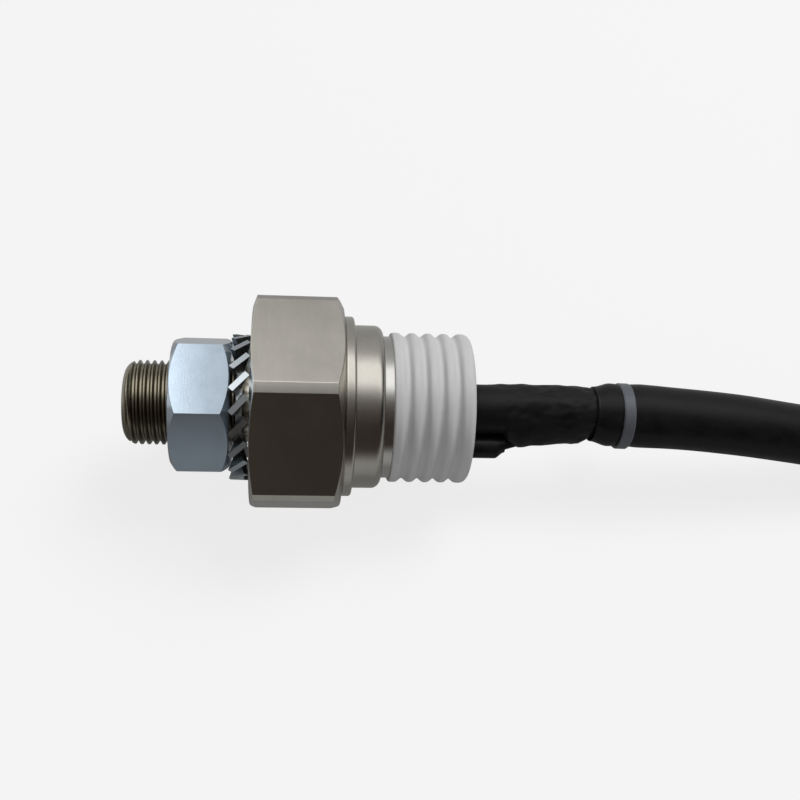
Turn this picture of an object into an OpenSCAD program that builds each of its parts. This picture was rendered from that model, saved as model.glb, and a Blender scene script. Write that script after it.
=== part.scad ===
// Stud-mounted phase control thyristor with a flexible lead, lying on one flat of its hexagon.
// X runs along the device's axis: the stud points to -X, the lead to +X, and +Z is up.
// The origin is the centre of the hexagon's seat face.

/* [Base] */
// Width of the hexagon across its flats
hex_af = 45; // [42:0.5:55]
// Radius turned off each corner of the hexagon
corner_cut = 0.7; // [0.1:0.1:1.5]
// Height of the hexagon
hex_h = 20; // [16:0.5:28]
// Height of the seat chamfer at the corners
seat_chamfer = 1.0; // [0.4:0.1:2]
// Height of the top chamfer at the corners
top_chamfer = 1.6; // [0.4:0.1:2.5]
// How far the turned faces stop short of the flats
land_inset = 0.25; // [0.1:0.05:1]
// Depth of the pocket that holds the silicon stack
pocket_depth = 1.6; // [0.8:0.1:2.4]

/* [Stud] */
// Outer diameter of the stud's thread
stud_d = 18.8; // [16:0.1:20.4]
// Length of the stud below the seat face
stud_len = 28; // [26:0.5:45]
// Radius of the rounded stud tip
stud_tip_r = 3.2; // [0.5:0.1:6]

/* [Nut and washer] */
// Width of the nut across its flats
nut_af = 28; // [26:0.1:34]
// Height of the nut
nut_h = 13; // [8:0.5:16]
// Turn of the nut from the base's hexagon, in degrees
nut_turn = 16; // [-30:1:30]
// Radial gap in the nut's thread
thread_gap = 0.05; // [0:0.01:0.2]
// Radial play of the lock washer on the stud
washer_play = 1.2; // [0.3:0.1:1.5]
// Outer diameter of the lock washer over its teeth
washer_od = 32.6; // [31:0.1:36]
// Width of the washer's flat ring
washer_ring_w = 2.4; // [1.5:0.1:3]
// Thickness of the washer's sheet
washer_t = 1.2; // [0.8:0.1:1.6]
// Number of teeth
tooth_count = 20; // [12:1:22]
// Width of a tooth at its tip
tooth_w = 5.0; // [3:0.1:5.5]
// Slant of a tooth at its tip, in degrees
tooth_slant = 47; // [30:1:60]

/* [Case] */
// How far the weld ring stands out round the cap
ring_ledge = 1.9; // [0.9:0.1:2.8]
// Height of the weld ring
ring_h = 2.4; // [1.5:0.1:4]
// Radius of the weld ring's rounded edge
ring_round = 0.9; // [0.3:0.1:1.1]
// Radial room between the clamp collar and the cap
cap_room = 1.2; // [0.2:0.1:2]
// Room between the clamp collar and the neck's foot
head_room = 0.4; // [0.2:0.1:3]
// Thickness of the cap's sheet
cap_t = 1.0; // [0.6:0.1:1.2]
// Outer radius of the cap's shoulder
shoulder_r = 1.9; // [1.4:0.1:2.2]
// How far the neck stands in from the cap's shoulder
neck_step = 0.45; // [0.2:0.05:1]
// Thickness of the neck's wall
neck_t = 1.0; // [0.6:0.1:1.2]
// Length of the neck between the cap and the ceramic
neck_len = 1.9; // [1:0.1:4]
// Thickness of the neck's foot inside the cap
neck_foot = 0.5; // [0.3:0.1:0.8]

/* [Ceramic] */
// How far the ribs stand out over the neck
ceramic_lip = 0.9; // [0.6:0.1:2]
// Length of the ceramic
ceramic_len = 17.8; // [16:0.1:24]
// Number of ribs
rib_count = 5; // [3:1:7]
// Depth of the grooves between the ribs
rib_depth = 0.9; // [0.2:0.1:1.5]
// Distance from the ceramic's lower end to the first rib's crest
first_crest = 1.3; // [0.8:0.1:2]
// Distance from the last rib's crest to the ceramic's upper end
last_crest = 2.1; // [1.7:0.1:3]
// Radius of the ceramic's rounded end
ceramic_round = 1.6; // [0.6:0.1:2]
// Depth of the pocket for the top seal
seal_pocket = 2.4; // [1.6:0.1:3]
// Width of the shelf that the top seal lies on
seal_shelf = 1.0; // [0.6:0.1:1.2]

/* [Silicon stack] */
// Diameter of the silicon and its lower disc, which all that lies round it follows
wafer_d = 28.4; // [25:0.1:31]
// Thickness of the lower disc
lower_disc_t = 1.2; // [0.8:0.1:2]
// Thickness of the silicon
wafer_t = 0.4; // [0.2:0.1:0.6]
// Diameter of the upper disc
upper_disc_d = 26; // [23:0.1:29]
// Thickness of the upper disc
upper_disc_t = 0.8; // [0.5:0.1:1.5]
// Diameter of the post's flange
post_flange_d = 25; // [20:0.1:29]
// Thickness of the post's flange
post_flange_t = 1.8; // [1:0.1:3]
// Diameter of the post
post_d = 13; // [12:0.1:14]
// Solid height of the post between the gate's slot and the inner lead's socket
post_web = 1.4; // [0.5:0.1:3]
// Depth of the inner lead's socket in the post
socket_depth = 5; // [3:0.1:7]
// Thickness of the mica washer
mica_t = 0.4; // [0.2:0.1:0.8]
// Thickness of the thrust washer
thrust_t = 0.9; // [0.6:0.1:1.5]
// Outer diameter of the springs and of what they press on
spring_d = 27.6; // [24:0.1:31]
// Thickness of a disc spring
spring_t = 0.7; // [0.5:0.1:1]
// Height of a disc spring's cone
spring_cone = 0.5; // [0.2:0.1:0.8]
// Thickness of the retaining ring
retainer_t = 0.8; // [0.5:0.1:1.5]
// How far the retaining ring reaches in over the springs
retainer_cover = 1.7; // [0.8:0.1:3]
// Depth of the retaining ring's groove
retainer_groove = 0.6; // [0.3:0.1:0.8]
// Wall of the clamp collar
collar_wall = 1.3; // [1:0.1:2]
// Height of the collar's lip above the retaining ring
collar_lip = 0.4; // [0.2:0.1:1]
// Wall of the insulating tube round the post
post_tube_wall = 0.9; // [0.5:0.1:1.2]
// Wall of the locating ring beside the silicon
locating_wall = 0.6; // [0.3:0.1:1.2]
// Least radial room between the collar and the springs or the post's flange
collar_room = 0.3; // [0.1:0.1:1]
// Running clearance between the pieces of the stack
stack_gap = 0.1; // [0.05:0.05:0.2]

/* [Gate] */
// Diameter of the gate pin
gate_pin_d = 1.2; // [0.8:0.1:1.4]
// Diameter of the gate pin's head
gate_head_d = 2.6; // [2.2:0.1:3]
// Thickness of the gate pin's head
gate_head_t = 0.6; // [0.4:0.1:1]
// Radial gap round the gate pin's head
gate_head_gap = 0.2; // [0.1:0.05:0.4]
// Wall of the gate bush
gate_bush_wall = 0.7; // [0.4:0.1:1]
// Diameter of the gate spring's wire
gate_spring_wire = 0.4; // [0.3:0.05:0.5]
// Number of turns of the gate spring
gate_spring_turns = 5; // [3:1:7]
// Diameter of the gate's inner wire
gate_wire_d = 1.0; // [0.6:0.1:1.2]
// Gap between the lead's sleeve and the gate's bead or sleeve
gate_sleeve_gap = 0.1; // [0.05:0.05:1]
// Angle of the gate tube round the axis, from straight down towards the front
gate_angle = 51; // [49:1:53]
// Outer diameter of the gate tube
gate_tube_d = 3.0; // [2:0.1:3]
// Inner diameter of the gate tube
gate_tube_bore = 1.6; // [1.3:0.1:1.8]
// Diameter of the glass bead
gate_bead_d = 5.0; // [4:0.1:5.6]
// Room between the glass bead and the ceramic's bore
bead_room = 1.6; // [0.6:0.1:2]

/* [Terminals] */
// Wall of the cathode tube
cathode_tube_wall = 0.5; // [0.3:0.1:0.8]
// How far the cathode tube stands out of the ceramic
cathode_tube_out = 9.4; // [6:0.1:11]
// How far the gate tube stands out of the ceramic
gate_tube_out = 4.8; // [4:0.1:8]
// Thickness of the top seal's sheet
seal_t = 0.8; // [0.5:0.1:1]
// Height of the top seal's rim
seal_rim = 1.6; // [1.2:0.1:1.6]

/* [Lead] */
// Diameter of the flexible lead's copper
lead_d = 9; // [8:0.1:10]
// Wall of the sleeve on the lead's root
inner_sleeve_wall = 0.8; // [0.5:0.1:1]
// Outer diameter of the sleeve over lead and wires
outer_sleeve_d = 14.6; // [14.4:0.1:15]
// Wall of the outer sleeve
outer_sleeve_wall = 0.8; // [0.5:0.1:0.9]
// Diameter of the thin wires
wire_d = 2.2; // [1.6:0.1:2.2]
// Outer diameter of the sleeve on the gate tube
gate_sleeve_d = 4.8; // [4:0.1:4.8]
// How far the gate tube's sleeve reaches past the tube
gate_sleeve_past = 2.8; // [1:0.1:3]
// Width of the cable tie
tie_w = 2.6; // [2:0.1:4.8]
// Thickness of the cable tie
tie_t = 0.9; // [0.8:0.1:1.6]
// Outer diameter of the lug's barrel
lug_barrel_d = 12.4; // [11.6:0.1:14]
// Length of the lug's barrel
lug_barrel_len = 18; // [12:0.5:24]
// Width of the lug's palm
lug_palm_w = 20; // [16:0.5:26]
// Thickness of the lug's palm
lug_palm_t = 3.4; // [2:0.1:4]
// Diameter of the lug's hole
lug_hole_d = 10.5; // [6.4:0.1:11]
// Width of a push-on terminal
terminal_w = 6.2; // [5:0.1:7]
// Height of a push-on terminal
terminal_h = 3.2; // [2.8:0.1:4]
// Length of a push-on terminal
terminal_len = 16; // [12:0.5:20]

/* [Hidden] */
fine = 96;
medium = 48;
// How far a cutting shape reaches past what it cuts
past = 1;

// Base and stud
flat_r = hex_af / 2;
corner_r = flat_r / cos(30) - corner_cut;
land_r = flat_r - land_inset;
floor_z = -flat_r;
stud_r = stud_d / 2;
stud_sunk = 1;
tip_steps = 8;

// Nut and washer
washer_h = tooth_w * sin(tooth_slant) + washer_t * cos(tooth_slant);
washer_bore_r = stud_r + washer_play;
washer_ring_r = washer_bore_r + washer_ring_w;
tooth_sunk = 0.8;
tooth_root_slant = 18;
tooth_root_w = 3.4;
tooth_slices = 5;
nut_x = -washer_h - nut_h;
nut_chamfer_angle = 28;
nut_face_inset = 0.4;

// Stations of the silicon stack and the case along the axis
stack_x = hex_h - pocket_depth;
wafer_x = stack_x + lower_disc_t;
upper_disc_x = wafer_x + wafer_t;
post_x = upper_disc_x + upper_disc_t;
mica_x = post_x + post_flange_t;
thrust_x = mica_x + mica_t;
spring_x = thrust_x + thrust_t;
retainer_x = spring_x + spring_cone + 2 * spring_t;
collar_top_x = retainer_x + retainer_t + collar_lip;
cap_x = hex_h + ring_h;
neck_foot_x = collar_top_x + head_room;
cap_top_x = neck_foot_x + neck_foot + cap_t;
cap_h = cap_top_x - cap_x;
ceramic_x = cap_top_x + neck_len;
ceramic_top_x = ceramic_x + ceramic_len;
seal_x = ceramic_top_x - seal_pocket;

// Radii of the stack and, from it outwards, of the case
wafer_r = wafer_d / 2;
upper_disc_r = upper_disc_d / 2;
post_flange_r = post_flange_d / 2;
spring_r = spring_d / 2;
collar_bore_r = max(
  max(wafer_r, upper_disc_r) + stack_gap + locating_wall,
  max(spring_r, post_flange_r) + collar_room
);
collar_r = collar_bore_r + collar_wall;
pocket_r = collar_r + stack_gap;
cap_r = collar_r + cap_room + cap_t;
cap_steps = 8;
ring_r = cap_r + ring_ledge;
ring_steps = 6;
neck_foot_r = cap_r - shoulder_r;
neck_r = neck_foot_r - neck_step;
ceramic_r = neck_r + ceramic_lip;
ceramic_edge = 0.5;
rib_pitch = (ceramic_len - first_crest - last_crest) / (rib_count - 1);
rib_steps = 10;
rib_power = 1.5;

// Post, its insulator and the springs
post_r = post_d / 2;
post_tube_r = post_r + stack_gap + post_tube_wall;
spring_bore_r = post_tube_r + stack_gap;
retainer_r = spring_r - retainer_cover;
post_tube_above = 0.4;
post_tube_len = collar_top_x - mica_x + post_tube_above;
lead_r = lead_d / 2;

// Gate contact
gate_bush_bore_r = gate_head_d / 2 + gate_head_gap;
gate_bush_r = gate_bush_bore_r + gate_bush_wall;
gate_bush_len = 7.4;
gate_bush_floor = 1.2;
gate_head_sunk = 0.8;
gate_head_x = post_x + gate_head_sunk;
gate_wire_gap = 0.3;
gate_wire_x = post_x + gate_bush_len + gate_wire_gap + gate_wire_d / 2;
gate_slot_side_room = 0.8;
gate_slot_end_room = 0.7;
gate_slot_w = gate_wire_d + 2 * gate_slot_side_room;
gate_slot_h = gate_wire_d + 2 * gate_slot_end_room;
gate_spring_r = gate_bush_bore_r - gate_spring_wire / 2 - stack_gap;
gate_spring_x = gate_head_x + gate_head_t;
gate_spring_len = post_x + gate_bush_len - gate_bush_floor - gate_spring_x;
spring_sides = 6;
spring_turn_steps = 14;
post_top_x = gate_wire_x + gate_slot_h / 2 + post_web + socket_depth;

// Tubes through the seal, and the bore that takes them
cathode_tube_r = lead_r + cathode_tube_wall;
inner_sleeve_r = cathode_tube_r + inner_sleeve_wall;
gate_tube_r = gate_tube_d / 2;
gate_sleeve_r = gate_sleeve_d / 2;
gate_bead_r = gate_bead_d / 2;
gate_offset = inner_sleeve_r + gate_sleeve_gap + max(gate_sleeve_r, gate_bead_r);
ceramic_bore_r = gate_offset + gate_bead_r + bead_room;
seal_pocket_r = ceramic_bore_r + seal_shelf;
ceramic_rim = 0.3;
ceramic_end_r = min(ceramic_round, ceramic_r - seal_pocket_r - ceramic_rim);
tube_inside = 4;
cathode_tube_x = seal_x - tube_inside;
cathode_tube_end = ceramic_top_x + cathode_tube_out;
gate_tube_end = ceramic_top_x + gate_tube_out;
bead_below = 0.4;
bead_above = 1.0;
bead_top_x = seal_x + seal_t + bead_above;
inner_lead_end = seal_x + seal_t;

// Lead, wires and what is on them
lead_sides = 12;
wire_sides = 8;
wire_r = wire_d / 2;
outer_sleeve_r = outer_sleeve_d / 2;
tie_pos = [85.3, 0, -1.6];
tie_tilt = 2;
tie_gap = 0.2;
tie_head = [4.6, 4.4, 3.6];
tie_head_angle = -140;
lug_x = 210;
lug_palm_len = 24;
lug_neck_len = 5;
lug_neck_taper = 1;
lug_skin = 0.2;
lug_z = floor_z + lug_barrel_d / 2;
lug_hole_x = lug_x + lug_barrel_len + lug_neck_len + lug_palm_len - lug_palm_w / 2;
terminal_x = 227;
terminal_y = 14.4;
terminal_wall = 0.5;
terminal_barrel_r = 1.7;
terminal_barrel_len = 5;
terminal_neck_len = 2.5;
terminal_neck_w = 2.8;
terminal_neck_sunk = 0.5;
terminal_slit = 1.2;
terminal_z = floor_z + terminal_barrel_r;

// Routes of the lead, its sleeves and the wires
lead_route = [
  [47.6, 0, 0], [53, 0, 0], [58, 0, 0], [64, 0, 0], [70, 0, -0.1], [78, 0, -0.2], [86, 0, -0.4],
  [96, 0, -0.8], [106, 0, -1.8], [117, 0, -3.4], [128, 0, -5.6], [139, 0, -7.9], [150, 0, -10.1],
  [161, 0, -12], [172, 0, -13.3], [184, 0, -13.8], [194, 0, -13.9], [199, 0, -14.2],
  [204, 0, -15.2], [209, 0, -16.3], [212, 0, -16.3], [219, 0, -16.3], [226, 0, -16.3]
];
inner_sleeve_route = [
  [47.4, 0, 0], [53, 0, 0], [58.4, 0, 0], [60, 0, 0], [67, 0, 0], [74, 0, -0.1], [78, 0, -0.2], [85, 0, -0.4]
];
inner_sleeve_shrink = [0, 0, 0, 0, 0, 0, 0.4, 0.4];
outer_sleeve_route = [
  [78, 0, -1.4], [86, 0, -1.6], [96, 0, -2], [106, 0, -3], [117, 0, -4.6], [128, 0, -6.8], [139, 0, -9.1],
  [150, 0, -11.3], [161, 0, -13.2], [172, 0, -14.5], [184, 0, -15], [194, 0, -15.1], [199, 0, -15.1]
];
gate_route = [
  [53.4, -6.5, -5.3], [56.6, -6.5, -5.3], [60, -5.7, -4.9], [63, -4.7, -5.3], [66.5, -3.2, -6.3], [70, -2.1, -6.8],
  [74, -1.4, -7], [78, -1.2, -6.6], [86, -1.2, -6.7], [96, -1.2, -7.1], [106, -1.2, -8.1], [117, -1.2, -9.7],
  [128, -1.2, -11.9], [139, -1.2, -14.2], [150, -1.2, -16.4], [161, -1.2, -18.3], [172, -1.2, -19.6], [184, -1.2, -20.1],
  [194, -1.2, -20.2], [199, -1.2, -20.2], [203, -1.6, -20.4], [207, -4, -20.8], [211, -7.2, -21.2],
  [217, -11, -21.2], [222, -13.5, -20.9], [226.5, -14.4, -20.8], [231, -14.4, -20.8]
];
aux_route = [
  [87, 1.2, -6.2], [92, 1.2, -6.8], [98, 1.2, -7.2], [106, 1.2, -8.1], [117, 1.2, -9.7], [128, 1.2, -11.9],
  [139, 1.2, -14.2], [150, 1.2, -16.4], [161, 1.2, -18.3], [172, 1.2, -19.6], [184, 1.2, -20.1],
  [194, 1.2, -20.2], [199, 1.2, -20.2], [203, 1.6, -20.4], [207, 4, -20.8], [211, 7.2, -21.2],
  [217, 11, -21.2], [222, 13.5, -20.9], [226.5, 14.4, -20.8], [231, 14.4, -20.8]
];

// Turns a shape whose axis is Z so that its axis is X, starting at station x
module on_axis(x) {
  translate([x, 0, 0]) rotate([0, 90, 0]) children();
}

// A ring between two radii, from station x on
module ring(x, inner, outer, h) {
  on_axis(x) difference() {
    cylinder(r = outer, h = h, $fn = fine);
    translate([0, 0, -past]) cylinder(r = inner, h = h + 2 * past, $fn = fine);
  }
}

// A turned solid from an outline of [radius, height] points, from station x on
module turned(x, outline) {
  on_axis(x) rotate_extrude($fn = fine) polygon(outline);
}

// Moves a shape from the axis to the gate tube's line
module at_gate() {
  rotate([-gate_angle, 0, 0]) translate([0, 0, -gate_offset]) children();
}

// Points of an arc round a centre
function arc(centre, r, from, to, steps) = [
  for (i = [0:steps])
    let (a = from + (to - from) * i / steps)
    centre + r * [cos(a), sin(a)]
];

function unit(v) = v / norm(v);

// Points of one ring of a tube that follows a route, with a corner of it straight up
function tube_ring(route, i, r, sides) =
  let (
    t = unit(route[min(i + 1, len(route) - 1)] - route[max(i - 1, 0)]),
    up = unit(cross(t, [0, 1, 0])),
    side = cross(up, t)
  ) [for (k = [0:sides - 1]) route[i] + r * (cos(360 * k / sides) * up + sin(360 * k / sides) * side)];

// Faces between two rings of points that start at the indices a and b
function band(a, b, sides) = [
  for (k = [0:sides - 1])
    let (n = (k + 1) % sides)
    each [[a + k, b + n, b + k], [a + k, a + n, b + n]]
];

// A solid skinned over rings of points, with flat ends
module skinned(points, sides) {
  last = len(points) - sides;
  walls = [for (a = [0:sides:last - sides]) each band(a, a + sides, sides)];
  start = [for (k = [0:sides - 1]) sides - 1 - k];
  end = [for (k = [0:sides - 1]) last + k];
  polyhedron(points, concat(walls, [start, end]), convexity = 10);
}

// A solid round cord along a route
module cord(route, r, sides) {
  skinned([for (i = [0:len(route) - 1]) each tube_ring(route, i, r, sides)], sides);
}

// A hollow sleeve along a route, with a radius for each ring; inner is the clear radius inside
module sleeve(route, outer, inner, sides) {
  n = len(route);
  wide = 1 / cos(180 / sides);
  skin = [for (i = [0:n - 1]) each tube_ring(route, i, outer[i], sides)];
  lining = [for (i = [0:n - 1]) each tube_ring(route, i, inner[i] * wide, sides)];
  m = n * sides;
  walls = [for (i = [0:n - 2]) each band(i * sides, (i + 1) * sides, sides)];
  inside = [for (i = [0:n - 2]) each band(m + (i + 1) * sides, m + i * sides, sides)];
  start = band(m, 0, sides);
  end = band((n - 1) * sides, m + (n - 1) * sides, sides);
  polyhedron(concat(skin, lining), concat(walls, inside, start, end), convexity = 6);
}

// The turned blank of a hexagon whose corners are chamfered at both ends
function hex_blank(land, corner, low, high, h) = [
  [0, 0], [land, 0], [corner, low], [corner, h - high], [land, h], [0, h]
];

// Base and stud, turned from one bar
module base_stud() {
  length = stud_len + stud_sunk;
  stud_outline = concat(
    [[0, 0], [stud_r, 0]],
    arc([stud_r - stud_tip_r, length - stud_tip_r], stud_tip_r, 0, 90, tip_steps),
    [[0, length]]
  );
  color([0.72, 0.70, 0.64]) difference() {
    union() {
      on_axis(0) intersection() {
        rotate(30) cylinder(r = flat_r / cos(30), h = hex_h, $fn = 6);
        rotate_extrude($fn = fine)
          polygon(hex_blank(land_r, corner_r, seat_chamfer, top_chamfer, hex_h));
      }
      mirror([1, 0, 0]) turned(-stud_sunk, stud_outline);
    }
    on_axis(stack_x) cylinder(r = pocket_r, h = pocket_depth + past, $fn = fine);
  }
}

// Nut, chamfered at both ends
module hex_nut() {
  nut_flat_r = nut_af / 2;
  nut_corner_r = nut_flat_r / cos(30);
  face_r = nut_flat_r - nut_face_inset;
  chamfer = (nut_corner_r - face_r) * tan(nut_chamfer_angle);
  bore_r = stud_r + thread_gap;
  color([0.75, 0.80, 0.84]) rotate([nut_turn, 0, 0]) on_axis(nut_x) difference() {
    intersection() {
      rotate(30) cylinder(r = nut_corner_r, h = nut_h, $fn = 6);
      rotate_extrude($fn = fine) polygon(hex_blank(face_r, nut_corner_r, chamfer, chamfer, nut_h));
    }
    translate([0, 0, -past]) cylinder(r = bore_r, h = nut_h + 2 * past, $fn = fine);
  }
}

// One tooth of the lock washer: a bar that widens and twists as it leaves the ring
module washer_tooth() {
  root_r = washer_ring_r - tooth_sunk;
  corners = [[-1, -1], [-1, 1], [1, 1], [1, -1]];
  points = [
    for (i = [0:tooth_slices], c = corners)
      let (
        f = i / tooth_slices,
        r = root_r + f * (washer_od / 2 - root_r),
        slant = -tooth_root_slant - f * (tooth_slant - tooth_root_slant),
        u = c[0] * (tooth_root_w + f * (tooth_w - tooth_root_w)) / 2,
        v = c[1] * washer_t / 2
      )
      [r, u * cos(slant) - v * sin(slant), u * sin(slant) + v * cos(slant)]
  ];
  skinned(points, len(corners));
}

// Lock washer, hanging on the stud between the nut and the base
module lock_washer() {
  color([0.55, 0.60, 0.64]) translate([0, 0, -washer_play]) on_axis(-washer_h / 2) union() {
    difference() {
      cylinder(r = washer_ring_r, h = washer_t, center = true, $fn = fine);
      cylinder(r = washer_bore_r, h = washer_t + 2 * past, center = true, $fn = fine);
    }
    for (i = [0:tooth_count - 1]) rotate(360 * i / tooth_count) washer_tooth();
  }
}

// Weld ring with a rounded edge, on top of the base
module weld_ring() {
  low = min(ring_round, ring_h / 2);
  color([0.78, 0.76, 0.70]) turned(hex_h, concat(
    [[pocket_r, 0], [ring_r - low, 0]],
    arc([ring_r - low, low], low, -90, 0, ring_steps),
    arc([ring_r - low, ring_h - low], low, 0, 90, ring_steps),
    [[pocket_r, ring_h]]
  ));
}

// Pressed cap with a rounded shoulder
module cap_shell() {
  shoulder = [cap_r - shoulder_r, cap_h - shoulder_r];
  color([0.74, 0.72, 0.66]) turned(cap_x, concat(
    [[cap_r - cap_t, 0], [cap_r, 0]],
    arc(shoulder, shoulder_r, 0, 90, cap_steps),
    [[neck_r, cap_h], [neck_r, cap_h - cap_t]],
    arc(shoulder, shoulder_r - cap_t, 90, 0, cap_steps)
  ));
}

// Neck between cap and ceramic, with a foot under the cap
module neck_sleeve() {
  h = ceramic_x - neck_foot_x;
  color([0.80, 0.79, 0.75]) turned(neck_foot_x, [
    [neck_r - neck_t, 0], [neck_foot_r, 0], [neck_foot_r, neck_foot], [neck_r, neck_foot],
    [neck_r, h], [neck_r - neck_t, h]
  ]);
}

// Radius of the ceramic between its first and last crest
function rib_radius(z) = ceramic_r - rib_depth * pow((1 - cos(360 * (z - first_crest) / rib_pitch)) / 2, rib_power);

// Ceramic insulator: rounded ribs outside, a bore and the top seal's pocket inside
module ceramic_insulator() {
  rib_points = rib_steps * (rib_count - 1);
  ribs = [
    for (i = [0:rib_points])
      let (z = first_crest + i * rib_pitch / rib_steps)
      [rib_radius(z), z]
  ];
  color("white") turned(ceramic_x, concat(
    [[ceramic_bore_r, 0]],
    arc([ceramic_r - ceramic_edge, ceramic_edge], ceramic_edge, -90, 0, 3),
    ribs,
    arc([ceramic_r - ceramic_end_r, ceramic_len - ceramic_end_r], ceramic_end_r, 0, 90, 8),
    [
      [seal_pocket_r, ceramic_len], [seal_pocket_r, ceramic_len - seal_pocket],
      [ceramic_bore_r, ceramic_len - seal_pocket]
    ]
  ));
}

// Silicon stack
module lower_disc() {
  color([0.50, 0.51, 0.53]) on_axis(stack_x) cylinder(r = wafer_r, h = lower_disc_t, $fn = fine);
}

module silicon_wafer() {
  color([0.30, 0.32, 0.38]) on_axis(wafer_x) cylinder(r = wafer_r, h = wafer_t, $fn = fine);
}

module upper_disc() {
  color([0.55, 0.56, 0.58]) ring(upper_disc_x, gate_bush_r, upper_disc_r, upper_disc_t);
}

// Insulating ring that lies round the wafer's edge and the upper disc
module locating_ring() {
  color([0.85, 0.80, 0.70]) turned(stack_x, [
    [wafer_r + stack_gap, 0], [collar_bore_r, 0], [collar_bore_r, post_x - stack_x],
    [upper_disc_r + stack_gap, post_x - stack_x], [upper_disc_r + stack_gap, upper_disc_x - stack_x],
    [wafer_r + stack_gap, upper_disc_x - stack_x]
  ]);
}

// Copper post with a flange, the gate's bore and slot, and the inner lead's socket
module cathode_post() {
  color([0.80, 0.50, 0.32]) difference() {
    union() {
      on_axis(post_x) cylinder(r = post_flange_r, h = post_flange_t, $fn = fine);
      on_axis(post_x) cylinder(r = post_r, h = post_top_x - post_x, $fn = fine);
    }
    on_axis(post_x - past)
      cylinder(r = gate_bush_r, h = gate_wire_x + gate_slot_h / 2 - post_x + past, $fn = medium);
    on_axis(post_top_x - socket_depth) cylinder(r = lead_r, h = socket_depth + past, $fn = medium);
    rotate([-gate_angle, 0, 0])
      translate([gate_wire_x - gate_slot_h / 2, -gate_slot_w / 2, -post_r - past])
        cube([gate_slot_h, gate_slot_w, post_r + past]);
  }
}

module post_insulator() {
  color([0.90, 0.88, 0.80]) ring(mica_x, post_r + stack_gap, post_tube_r, post_tube_len);
}

module mica_washer() {
  color([0.75, 0.66, 0.48]) ring(mica_x, spring_bore_r, spring_r, mica_t);
}

module thrust_washer() {
  color([0.60, 0.61, 0.63]) ring(thrust_x, spring_bore_r, spring_r, thrust_t);
}

// A disc spring, its outer edge higher than its bore
module disc_spring(x) {
  color([0.40, 0.42, 0.48]) turned(x, [
    [spring_bore_r, 0], [spring_r, spring_cone], [spring_r, spring_cone + spring_t], [spring_bore_r, spring_t]
  ]);
}

module disc_spring_lower() {
  disc_spring(spring_x);
}

module disc_spring_upper() {
  disc_spring(spring_x + spring_t);
}

module retaining_ring() {
  color([0.45, 0.46, 0.50])
    ring(retainer_x, retainer_r, collar_bore_r + retainer_groove, retainer_t);
}

// Collar round the stack, with the retaining ring's groove
module clamp_collar() {
  low = retainer_x - stack_x;
  color([0.62, 0.62, 0.64]) turned(stack_x, [
    [collar_bore_r, 0], [collar_r, 0], [collar_r, collar_top_x - stack_x], [collar_bore_r, collar_top_x - stack_x],
    [collar_bore_r, low + retainer_t], [collar_bore_r + retainer_groove, low + retainer_t],
    [collar_bore_r + retainer_groove, low], [collar_bore_r, low]
  ]);
}

// Gate contact
module gate_bush() {
  color([0.95, 0.94, 0.90]) turned(post_x, [
    [gate_bush_bore_r, 0], [gate_bush_r, 0], [gate_bush_r, gate_bush_len],
    [gate_pin_d / 2 + stack_gap, gate_bush_len], [gate_pin_d / 2 + stack_gap, gate_bush_len - gate_bush_floor],
    [gate_bush_bore_r, gate_bush_len - gate_bush_floor]
  ]);
}

module gate_pin() {
  color([0.85, 0.72, 0.40]) union() {
    on_axis(upper_disc_x) cylinder(r = gate_pin_d / 2, h = gate_wire_x - gate_wire_d / 2 - upper_disc_x, $fn = medium);
    on_axis(gate_head_x) cylinder(r = gate_head_d / 2, h = gate_head_t, $fn = medium);
  }
}

// Coil spring between the pin's head and the bush's floor
module gate_spring() {
  n = gate_spring_turns * spring_turn_steps;
  rise = gate_spring_len - gate_spring_wire;
  points = [
    for (i = [0:n])
      let (a = 360 * i / spring_turn_steps, x = gate_spring_x + gate_spring_wire / 2 + rise * i / n)
      for (k = [0:spring_sides - 1])
        let (
          b = 360 * k / spring_sides,
          r = gate_spring_r + gate_spring_wire / 2 * cos(b)
        )
        [x + gate_spring_wire / 2 * sin(b), r * cos(a), r * sin(a)]
  ];
  color([0.70, 0.70, 0.72]) skinned(points, spring_sides);
}

module gate_inner_wire() {
  color([0.85, 0.72, 0.40]) union() {
    rotate([-gate_angle, 0, 0]) translate([gate_wire_x, 0, -gate_offset])
      cylinder(r = gate_wire_d / 2, h = gate_offset, $fn = medium);
    at_gate() {
      on_axis(gate_wire_x) cylinder(r = gate_wire_d / 2, h = seal_x - gate_wire_x, $fn = medium);
      translate([gate_wire_x, 0, 0]) sphere(r = gate_wire_d / 2, $fn = medium);
    }
    translate([gate_wire_x, 0, 0]) sphere(r = gate_wire_d / 2, $fn = medium);
  }
}

module inner_lead() {
  color([0.82, 0.52, 0.34]) on_axis(post_top_x - socket_depth)
    cylinder(r = lead_r, h = inner_lead_end - post_top_x + socket_depth, $fn = medium);
}

// Metal cup that closes the ceramic
module top_seal() {
  color([0.66, 0.66, 0.64]) difference() {
    on_axis(seal_x) difference() {
      cylinder(r = seal_pocket_r, h = seal_rim, $fn = fine);
      translate([0, 0, seal_t]) cylinder(r = seal_pocket_r - seal_t, h = seal_rim, $fn = fine);
    }
    on_axis(seal_x - past) cylinder(r = cathode_tube_r, h = seal_rim + 2 * past, $fn = fine);
    at_gate() on_axis(seal_x - past) cylinder(r = gate_bead_r, h = seal_rim + 2 * past, $fn = medium);
  }
}

module cathode_tube() {
  color([0.80, 0.50, 0.32])
    ring(cathode_tube_x, lead_r, cathode_tube_r, cathode_tube_end - cathode_tube_x);
}

module gate_bead() {
  color([0.30, 0.45, 0.40]) at_gate()
    ring(seal_x - bead_below, gate_tube_r, gate_bead_r, bead_top_x - seal_x + bead_below);
}

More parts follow.
